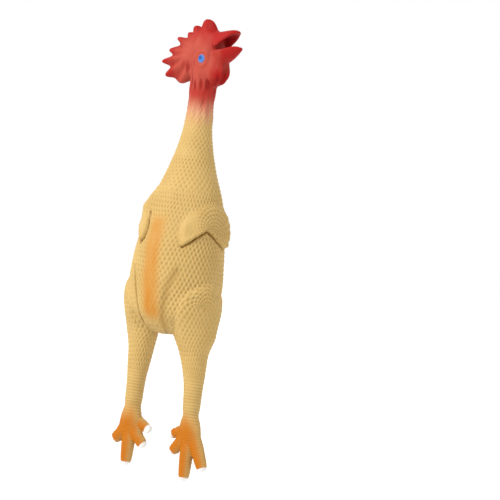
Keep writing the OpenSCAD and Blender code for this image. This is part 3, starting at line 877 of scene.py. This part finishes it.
wall = 2.8
core_rings = []
for height_k in (22, 10, -2, -14, -26, -38, -50):
    radius = float(neck_at(height_k)) - wall
    core_rings.append(oval((0, 0, height_k), radius, radius, corners=24))
for row in BODY[:-1]:
    height_k = bend_end - row[0] * body_len + (wall if row[0] > 0.95 else 0)
    across, along = row[1] * half_wide - wall, row[2] * half_deep - wall
    core_rings.append(oval((0, -row[3], height_k), across, along, corners=24))
core = tube("core", core_rings, rounding=1)
leg_core_rings = [
    oval((x, y, z), across - wall, along - wall, turn, corners=24)
    for z, x, y, across, along, turn in LEG
    if across > 8 and z > ankle_end - 8
]
leg_cores = []
for sign in (1, -1):
    mirrored = [[(sign * x_k, y_k, z_k) for x_k, y_k, z_k in ring] for ring in leg_core_rings]
    leg_cores.append(tube("leg_core", mirrored, rounding=1))
for leg_core in leg_cores:
    cut_tool = core.modifiers.new("Join", "BOOLEAN")
    cut_tool.operation = "UNION"
    cut_tool.object = leg_core
    cut_tool.solver = "MANIFOLD"
    select_only(core)
    bpy.ops.object.modifier_apply(modifier=cut_tool.name)
cut(skin, core, keep_inside=False)
discard(core, *leg_cores)
print("hollow skin", len(skin.data.polygons), "faces")

# %% [markdown]
# ## Cut lines
#
# The CAD frame bends the neck, the beak, the comb, the wattles, the hips, hocks, ankles and toes. A piece
# of skin may bend across one joint only, so the skin is cut between the joints, where it doesn't bend.
# Both sides of a cut then always move together and the cut never opens.

# %% Cutters
reach = 90.0


def block(low, high):
    """A box between two corners in mm."""
    low, high = np.array(low, float), np.array(high, float)
    bpy.ops.mesh.primitive_cube_add(size=1, location=(low + high) / 2 * mm)
    made = bpy.context.object
    made.scale = (high - low) * mm
    bpy.ops.object.transform_apply(location=True, rotation=False, scale=True)
    return made


def wedge(corners, half):
    """A prism across Y from its corners in the XZ plane, in mm."""
    rings = [[(x, y, z) for x, z in corners] for y in (-half, half)]
    return tube("wedge", rings, rounding=0)


def carve(source, name, *cutters):
    """A copy of source inside the cutters. Source keeps the rest when there is one cutter."""
    piece = source.copy()
    piece.data = source.data.copy()
    piece.name = name
    bpy.context.collection.objects.link(piece)
    for cutter in cutters:
        cut(piece, cutter, keep_inside=True)
    if len(cutters) == 1:
        cut(source, cutters[0], keep_inside=False)
    discard(*cutters)
    return piece


def slab(source, name, low, high):
    return carve(source, name, block((-reach, -reach, low), (reach, reach, high)))


neck_cut, throat_cut = (sway_end + collar_end) / 2, (grip_top + grip_end) / 2
waist_cut, hip_cut = seat_z - 22, crotch - 0.5
knee_cut, shank_cut = (hip_end + thigh_end) / 2, (hock_end + shank_end) / 2
rest = skin
parts = {}
parts["head"] = slab(rest, "head", throat_cut, 150)
parts["neck"] = slab(rest, "neck", neck_cut, throat_cut)
body = slab(rest, "body", hip_cut, neck_cut)
breast_y = -33.5
parts["breast"] = carve(body, "breast", block((-reach, -reach, hip_cut - 1), (reach, breast_y, -64)))
parts["upper_body"] = slab(body, "upper_body", waist_cut, neck_cut + 1)
parts["lower_body"] = body
body.name = "lower_body"
for side, sign in SIDES.items():
    near, far = sorted((0, sign * reach))
    leg_part = carve(rest, side + "_leg", block((near, -reach, -400), (far, reach, hip_cut)))
    parts[side + "_thigh"] = slab(leg_part, side + "_thigh", knee_cut, hip_cut + 1)
    parts[side + "_shank"] = slab(leg_part, side + "_shank", shank_cut, knee_cut)
    parts[side + "_foot"] = leg_part
    leg_part.name = side + "_foot"
discard(rest)
print("cut into", sorted(parts))

# %% Comb, lower beak and wattles
COMB_ROOT = ((-19.0, head_base + 8), (-10.6, head_base + 62))
root_run = np.array(COMB_ROOT[1]) - np.array(COMB_ROOT[0])
root_run = root_run / np.linalg.norm(root_run)
behind = np.array((-root_run[1], root_run[0]))
comb_cut = [
    np.array(COMB_ROOT[0]) - root_run * 12 - behind * 1.5,
    np.array(COMB_ROOT[1]) + root_run * 16 - behind * 1.5,
]
corners = [tuple(p) for p in (comb_cut[0], comb_cut[1], comb_cut[1] + behind * 60, comb_cut[0] + behind * 60)]
parts["comb"] = carve(parts["head"], "comb", wedge(corners, 30))
gape = (10.0, 70.6)
jaw_corners = [gape, (48, 84.0), (48, 33), (12.0, 33)]
jaw = carve(parts["head"], "lower_beak", wedge(jaw_corners, 30))
parts["lower_beak"] = jaw
lobe_x, lobe_z = 18.0, 58.0
for side, sign in SIDES.items():
    near, far = sorted((0, sign * 30))
    parts[side + "_wattle"] = carve(jaw, side + "_wattle", block((lobe_x, near, 30), (48, far, lobe_z)))
print("cut from the head", ("comb", jaw.name, "left_wattle", "right_wattle"))

# %% Toes
toe_gap = 2.5
for side in SIDES:
    for name in ("hind", "inner", "outer", "middle"):
        root = foot_point(side, TOE_ROOT[name], 0)
        tip = foot_point(side, TOE_TIP[side][name], 0)
        ahead = (tip - root) / np.linalg.norm(tip - root)
        across = np.array((-ahead[2], 0, ahead[0]))
        near, far, girth = root + ahead * toe_gap, tip + ahead * 9, TOE_GIRTH[name]
        slim, wide = across * (girth + 1.2), across * (girth + 3)
        corners = [near - slim, far - wide, far + wide, near + slim]
        part = carve(parts[side + "_foot"], f"{side}_{name}_toe", wedge([(p[0], p[2]) for p in corners], 20))
        parts[f"{side}_{name}_toe"] = part
        part["bend"] = [*(near * mm), *((near + ahead * 8) * mm)]
bpy.ops.mesh.primitive_cylinder_add(vertices=96, radius=(seat_radius + 0.05) * mm, depth=0.03)
hole = bpy.context.object
hole.rotation_euler = (math.radians(90), 0, 0)
hole.location = (0, seat_face * mm, seat_z * mm)
bpy.ops.object.transform_apply(location=True, rotation=True, scale=True)
cut(parts["upper_body"], hole, keep_inside=False)
discard(hole)
for name, piece in parts.items():
    print(name, len(piece.data.polygons), "faces")

# %% [markdown]
# ## Seamless shading
#
# A cut would show as a fine line if each side shaded its edge on its own. So the points on the outside
# are given the normals that the whole skin had there, and the faces of the cuts are shaded flat.

# %% Normals from the whole skin
MASKS = list(skin_values)
tree = kdtree.KDTree(len(skin_points))
for k, point in enumerate(skin_points):
    tree.insert(point, k)
tree.balance()


def shade(piece):
    """Smooth shading, with the whole skin's normals on points that lie at a cut."""
    mesh = piece.data
    mesh.shade_smooth()
    count = len(mesh.vertices)
    where, faces = np.zeros(count * 3), len(mesh.polygons)
    mesh.vertices.foreach_get("co", where)
    where = where.reshape(-1, 3) / mm
    face_normals, face_sizes = np.zeros(faces * 3), np.zeros(faces, np.int32)
    mesh.polygons.foreach_get("normal", face_normals)
    mesh.polygons.foreach_get("loop_total", face_sizes)
    face_normals = face_normals.reshape(-1, 3)
    corner_points = np.zeros(len(mesh.loops), np.int32)
    mesh.loops.foreach_get("vertex_index", corner_points)
    corner_faces = np.repeat(np.arange(faces), face_sizes)
    own = np.zeros(count * 3)
    mesh.vertex_normals.foreach_get("vector", own)
    own = own.reshape(-1, 3)
    nearest = np.array([tree.find(point)[1] for point in where])
    for name in MASKS:
        mesh.attributes[name].data.foreach_set("value", skin_values[name][nearest])
    spread = np.einsum("ij,ij->i", face_normals[corner_faces], own[corner_points])
    at_cut = np.zeros(count, bool)
    at_cut[corner_points[spread < 0.8]] = True
    corner_normals = own[corner_points].copy()
    for corner in np.flatnonzero(at_cut[corner_points]):
        vertex = corner_points[corner]
        normal = np.zeros(3)
        for _, index, far in tree.find_n(where[vertex], 3):
            normal += skin_normals[index] / (far + 1e-4)
        normal /= np.linalg.norm(normal)
        face_normal = face_normals[corner_faces[corner]]
        corner_normals[corner] = normal if normal @ face_normal > 0.5 else face_normal
    mesh.normals_split_custom_set(corner_normals)


for piece in parts.values():
    shade(piece)
print("shaded", len(parts), "pieces")

# %% [markdown]
# ## Stage
#
# A pale floor well under the toes, a white surround, and one large soft lamp: the toy is shown as in a
# catalogue, with hardly a shadow. The camera stands far off with a long lens and is tipped a little, so
# the toy leans.

# %% Floor, light and camera
def rgb(text):
    """An sRGB hex value as linear colour."""
    channels = [int(text[k : k + 2], 16) / 255 for k in (0, 2, 4)]
    return [c / 12.92 if c <= 0.04045 else ((c + 0.055) / 1.055) ** 2.4 for c in channels] + [1.0]


bpy.ops.mesh.primitive_plane_add(size=80, location=(0, 0, -0.47))
floor = bpy.context.object
floor.name = "floor"
floor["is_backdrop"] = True
floor_paint = bpy.data.materials.new("white floor paint")
floor_paint.use_nodes = True
floor_shader = floor_paint.node_tree.nodes["Principled BSDF"]
floor_shader.inputs["Base Color"].default_value = rgb("F6F6F4")
floor_shader.inputs["Roughness"].default_value = 0.9
floor.data.materials.append(floor_paint)

surround = bpy.data.worlds.new("white surround")
surround.use_nodes = True
surround.node_tree.nodes["Background"].inputs["Color"].default_value = rgb("FFFFFF")
surround.node_tree.nodes["Background"].inputs["Strength"].default_value = 1.0
bpy.context.scene.world = surround
bpy.context.scene.view_settings.view_transform = "Standard"

azimuth, lean_angle = math.radians(32), math.radians(7.4)
view_right = np.array((math.cos(azimuth), math.sin(azimuth), 0))
view_ahead = np.array((-math.sin(azimuth), math.cos(azimuth), 0))
look_at = view_right * 0.0674 + np.array((0, 0, -0.1224))


def sun(name, right, back, up, spread, strength):
    """A soft lamp far away, given by where it stands as seen from the camera."""
    bpy.ops.object.light_add(type="SUN")
    made = bpy.context.object
    made.name = name
    made.data.angle = math.radians(spread)
    made.data.energy = strength
    towards = Vector(view_right * right - view_ahead * back + np.array((0, 0, up)))
    made.rotation_euler = towards.to_track_quat("Z", "Y").to_euler()
    return made


key = sun("key lamp", -0.75, 0.6, 0.65, 14, 2.6)

distance, frame_high = 2.6, 0.5
camera_data = bpy.data.cameras.new("camera")
camera = bpy.data.objects.new("camera", camera_data)
bpy.context.collection.objects.link(camera)
camera_data.sensor_width = 36
camera_data.lens = 36 * distance / frame_high
camera_data.clip_end = 50
up = np.array((0, 0, 1)) * math.cos(lean_angle) - view_right * math.sin(lean_angle)
right = np.cross(view_ahead, up)
turn = Matrix((right, up, -view_ahead)).transposed()
camera.matrix_world = Matrix.Translation(look_at - view_ahead * distance) @ turn.to_4x4()
bpy.context.scene.camera = camera
print("camera", round(camera_data.lens), "mm lens at", distance, "m")

# %% [markdown]
# ## Latex
#
# Slip-moulded latex: a matt, slightly waxy rubber, IOR about 1.52, that lets a little light in and glows
# warm in its hollows. The yellow is in the rubber, and the other colours are sprayed on. Pigment gathers
# in the pits, and painted shade darkens the pits, creases, grooves, red hollows and the throat under the jaw.

# %% Latex material
def add_node(tree, kind, settings=None, links=None):
    """Adds a node, sets its properties and sockets, and links sockets given as (input, output socket)."""
    node = tree.nodes.new(kind)
    for key, value in (settings or {}).items():
        if isinstance(key, int) or key in node.inputs:
            node.inputs[key].default_value = value
        else:
            setattr(node, key, value)
    for key, socket in (links or {}).items():
        tree.links.new(socket, node.inputs[key])
    return node


def mask_of(tree, name):
    return add_node(tree, "ShaderNodeAttribute", {"attribute_name": name}).outputs["Fac"]


def paint_over(tree, below, colour, mask):
    """Mixes a colour over what is below by a mask."""
    mix = add_node(tree, "ShaderNodeMix", {"data_type": "RGBA"})
    tree.links.new(mask, mix.inputs["Factor"])
    tree.links.new(below, mix.inputs["A"])
    if isinstance(colour, str):
        mix.inputs["B"].default_value = rgb(colour)
    else:
        tree.links.new(colour, mix.inputs["B"])
    return mix.outputs["Result"]


latex = bpy.data.materials.new("moulded latex with sprayed colour and painted shade")
latex.use_nodes = True
tree = latex.node_tree
shader = tree.nodes["Principled BSDF"]
place = add_node(tree, "ShaderNodeTexCoord").outputs["Object"]
cloud_size, speckle_size = 0.022, 0.0022
cloud_settings = {"Scale": 1 / cloud_size, "Detail": 3.0}
clouds = add_node(tree, "ShaderNodeTexNoise", cloud_settings, {"Vector": place}).outputs["Fac"]
speckle_settings = {"Scale": 1 / speckle_size, "Detail": 2.0}
speckle = add_node(tree, "ShaderNodeTexNoise", speckle_settings, {"Vector": place}).outputs["Fac"]
yellow = add_node(tree, "ShaderNodeValToRGB", links={"Fac": clouds})
yellow.color_ramp.elements[0].position, yellow.color_ramp.elements[0].color = 0.3, rgb("B4955A")
yellow.color_ramp.elements[1].position, yellow.color_ramp.elements[1].color = 0.7, rgb("BD9E62")
red = add_node(tree, "ShaderNodeValToRGB", links={"Fac": clouds})
red.color_ramp.elements[0].position, red.color_ramp.elements[0].color = 0.3, rgb("A03E30")
red.color_ramp.elements[1].position, red.color_ramp.elements[1].color = 0.7, rgb("A8483A")
# Painted shade and gathered pigment: a darker brown in the pits, creases and grooves.
colour = paint_over(tree, yellow.outputs["Color"], "7E5A20", mask_of(tree, "pit_pigment_and_shade"))
colour = paint_over(tree, colour, "B3772A", mask_of(tree, "breast_stripe"))
colour = paint_over(tree, colour, "A86008", mask_of(tree, "orange_spray"))
colour = paint_over(tree, colour, "BC8566", mask_of(tree, "pink_mist"))
colour = paint_over(tree, colour, red.outputs["Color"], mask_of(tree, "red_spray"))
deep_and_red = {0: mask_of(tree, "deep_red_and_jaw_shade"), 1: mask_of(tree, "red_spray")}
in_red = add_node(tree, "ShaderNodeMath", {"operation": "MULTIPLY"}, deep_and_red)
# Deep red farther from the cheek, and painted shade under the jaw.
colour = paint_over(tree, colour, "980A08", in_red.outputs["Value"])
# Painted shade: darker red in the hollows of the comb and the cheek wrinkles.
colour = paint_over(tree, colour, "7E0806", mask_of(tree, "painted_shade_in_red_hollows"))
colour = paint_over(tree, colour, "A8442C", mask_of(tree, "eye_glow"))
colour = paint_over(tree, colour, "941016", mask_of(tree, "mouth"))
colour = paint_over(tree, colour, "4676B6", mask_of(tree, "eye_blue"))
colour = paint_over(tree, colour, "224A90", mask_of(tree, "eye_dark"))
colour = paint_over(tree, colour, "D8D6D4", mask_of(tree, "nails"))
tree.links.new(colour, shader.inputs["Base Color"])
shader.inputs["Roughness"].default_value = 0.55
shader.inputs["IOR"].default_value = 1.52
shader.inputs["Specular IOR Level"].default_value = 0.12
shader.inputs["Subsurface Weight"].default_value = 0.12
shader.inputs["Subsurface Radius"].default_value = (1.0, 0.5, 0.2)
shader.inputs["Subsurface Scale"].default_value = 0.003
bump = add_node(tree, "ShaderNodeBump", {"Strength": 0.25, "Distance": 0.0004}, {"Height": speckle})
tree.links.new(bump.outputs["Normal"], shader.inputs["Normal"])
print(latex.name, len(tree.nodes), "nodes")

# %% [markdown]
# ## Squeaker
#
# The cup, its cap and the tongue are moulded polyethylene, milky and a little waxy; the reed is a clear
# film.

# %% Plastic and film materials
plastic = bpy.data.materials.new("moulded polyethylene")
plastic.use_nodes = True
plastic_tree = plastic.node_tree
plastic_shader = plastic_tree.nodes["Principled BSDF"]
plastic_place = add_node(plastic_tree, "ShaderNodeTexCoord").outputs["Object"]
flow_settings = {"Scale": 1 / 0.004, "Detail": 2.0}
plastic_flow = add_node(plastic_tree, "ShaderNodeTexNoise", flow_settings, {"Vector": plastic_place})
plastic_tone = add_node(plastic_tree, "ShaderNodeValToRGB", links={"Fac": plastic_flow.outputs["Fac"]})
plastic_tone.color_ramp.elements[0].color = rgb("D6D3CA")
plastic_tone.color_ramp.elements[1].color = rgb("E4E2DA")
plastic_tree.links.new(plastic_tone.outputs["Color"], plastic_shader.inputs["Base Color"])
plastic_shader.inputs["Roughness"].default_value = 0.38
plastic_shader.inputs["IOR"].default_value = 1.51
bump_settings = {"Strength": 0.15, "Distance": 0.0002}
flow_height = {"Height": plastic_flow.outputs["Fac"]}
plastic_bump = add_node(plastic_tree, "ShaderNodeBump", bump_settings, flow_height)
plastic_tree.links.new(plastic_bump.outputs["Normal"], plastic_shader.inputs["Normal"])

film = bpy.data.materials.new("polyester reed film")
film.use_nodes = True
film_tree = film.node_tree
film_shader = film_tree.nodes["Principled BSDF"]
film_place = add_node(film_tree, "ShaderNodeTexCoord").outputs["Object"]
film_grain = add_node(film_tree, "ShaderNodeTexNoise", {"Scale": 1 / 0.001}, {"Vector": film_place})
film_tone = add_node(film_tree, "ShaderNodeValToRGB", links={"Fac": film_grain.outputs["Fac"]})
film_tone.color_ramp.elements[0].color = rgb("BFA86E")
film_tone.color_ramp.elements[1].color = rgb("D2BE8A")
film_tree.links.new(film_tone.outputs["Color"], film_shader.inputs["Base Color"])
film_shader.inputs["Roughness"].default_value = 0.25
print(plastic.name, "and", film.name)

# %% [markdown]
# ## Give every piece its body
#
# Each piece stands for its CAD nodes, which are hidden, takes the latex material, and rides on its body
# or bends between two.

# %% Bodies, materials and nodes
BENDS = {
    # piece: (from body, to body, start, end) with places in mm
    "head": ("neck", "head", (0, 0, grip_top), (0, 0, head_base)),
    "neck": ("neck", "lower_neck", (0, 0, grip_end), (0, 0, sway_end)),
    "upper_body": ("lower_neck", "torso", (0, 0, collar_end), (0, 0, bend_end)),
    "breast": ("torso", "breast", (0, breast_y, -120), (0, -52.5, -120)),
    "comb": ("head", "comb", None, None),
    "lower_beak": ("head", "lower_beak", (11, 0, 53), (17.8, 0, 53)),
    "left_wattle": ("lower_beak", "left_wattle", (20, 0, lobe_z), (20, 0, lobe_z - 9)),
    "right_wattle": ("lower_beak", "right_wattle", (20, 0, lobe_z), (20, 0, lobe_z - 9)),
}
comb_start = (comb_cut[0] + comb_cut[1]) / 2
comb_stop = comb_start + behind * 10
BENDS["comb"] = ("head", "comb", (comb_start[0], 0, comb_start[1]), (comb_stop[0], 0, comb_stop[1]))
STANDS_FOR = {
    "head": ["head_skin", "throat_flex", "jaw_flex"], "neck": ["neck_skin", "sway_flex"],
    "upper_body": ["collar_skin", "bend_flex"], "lower_body": ["torso_skin"],
    "breast": ["breast_skin", "breast_rim_flex"], "comb": ["comb"], "lower_beak": ["lower_beak"],
    "left_wattle": ["left_wattle"], "right_wattle": ["right_wattle"],
}
for side in SIDES:
    BENDS[side + "_thigh"] = ("torso", side + "_thigh", (0, 0, crotch), (0, 0, hip_end))
    BENDS[side + "_shank"] = (side + "_thigh", side + "_shank", (0, 0, thigh_end), (0, 0, hock_end))
    BENDS[side + "_foot"] = (side + "_shank", side + "_foot", (0, 0, shank_end), (0, 0, ankle_end))
    STANDS_FOR[side + "_thigh"] = [side + "_thigh_skin", side + "_hip_flex"]
    STANDS_FOR[side + "_shank"] = [side + "_shank_skin", side + "_hock_flex"]
    STANDS_FOR[side + "_foot"] = [side + "_foot", side + "_ankle_flex"]
for name, piece in parts.items():
    piece.data.materials.clear()
    piece.data.materials.append(latex)
    if name.endswith("_toe"):
        bend = list(piece["bend"])
        del piece["bend"]
        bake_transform(piece, name.split("_")[0] + "_foot", name, bend[:3], bend[3:])
        STANDS_FOR[name] = [name]
    elif name in BENDS:
        first, second, start, end = BENDS[name]
        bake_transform(piece, first, second, [v * mm for v in start], [v * mm for v in end])
    else:
        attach(piece, "torso")
    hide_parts(*STANDS_FOR[name])

for name in ("squeaker_cup", "squeaker_cap", "squeaker_reed_block", "squeaker_reed", "squeaker_seat"):
    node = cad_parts[name]
    node.data.materials.clear()
    node.data.materials.append({"squeaker_seat": latex, "squeaker_reed": film}.get(name, plastic))
print(len(parts), "pieces given bodies, slots and nodes")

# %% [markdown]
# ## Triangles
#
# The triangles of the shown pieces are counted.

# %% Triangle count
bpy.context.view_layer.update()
triangles = sum(len(o.data.loop_triangles) or len(o.data.polygons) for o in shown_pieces() if o.type == "MESH")
print("triangles", triangles)
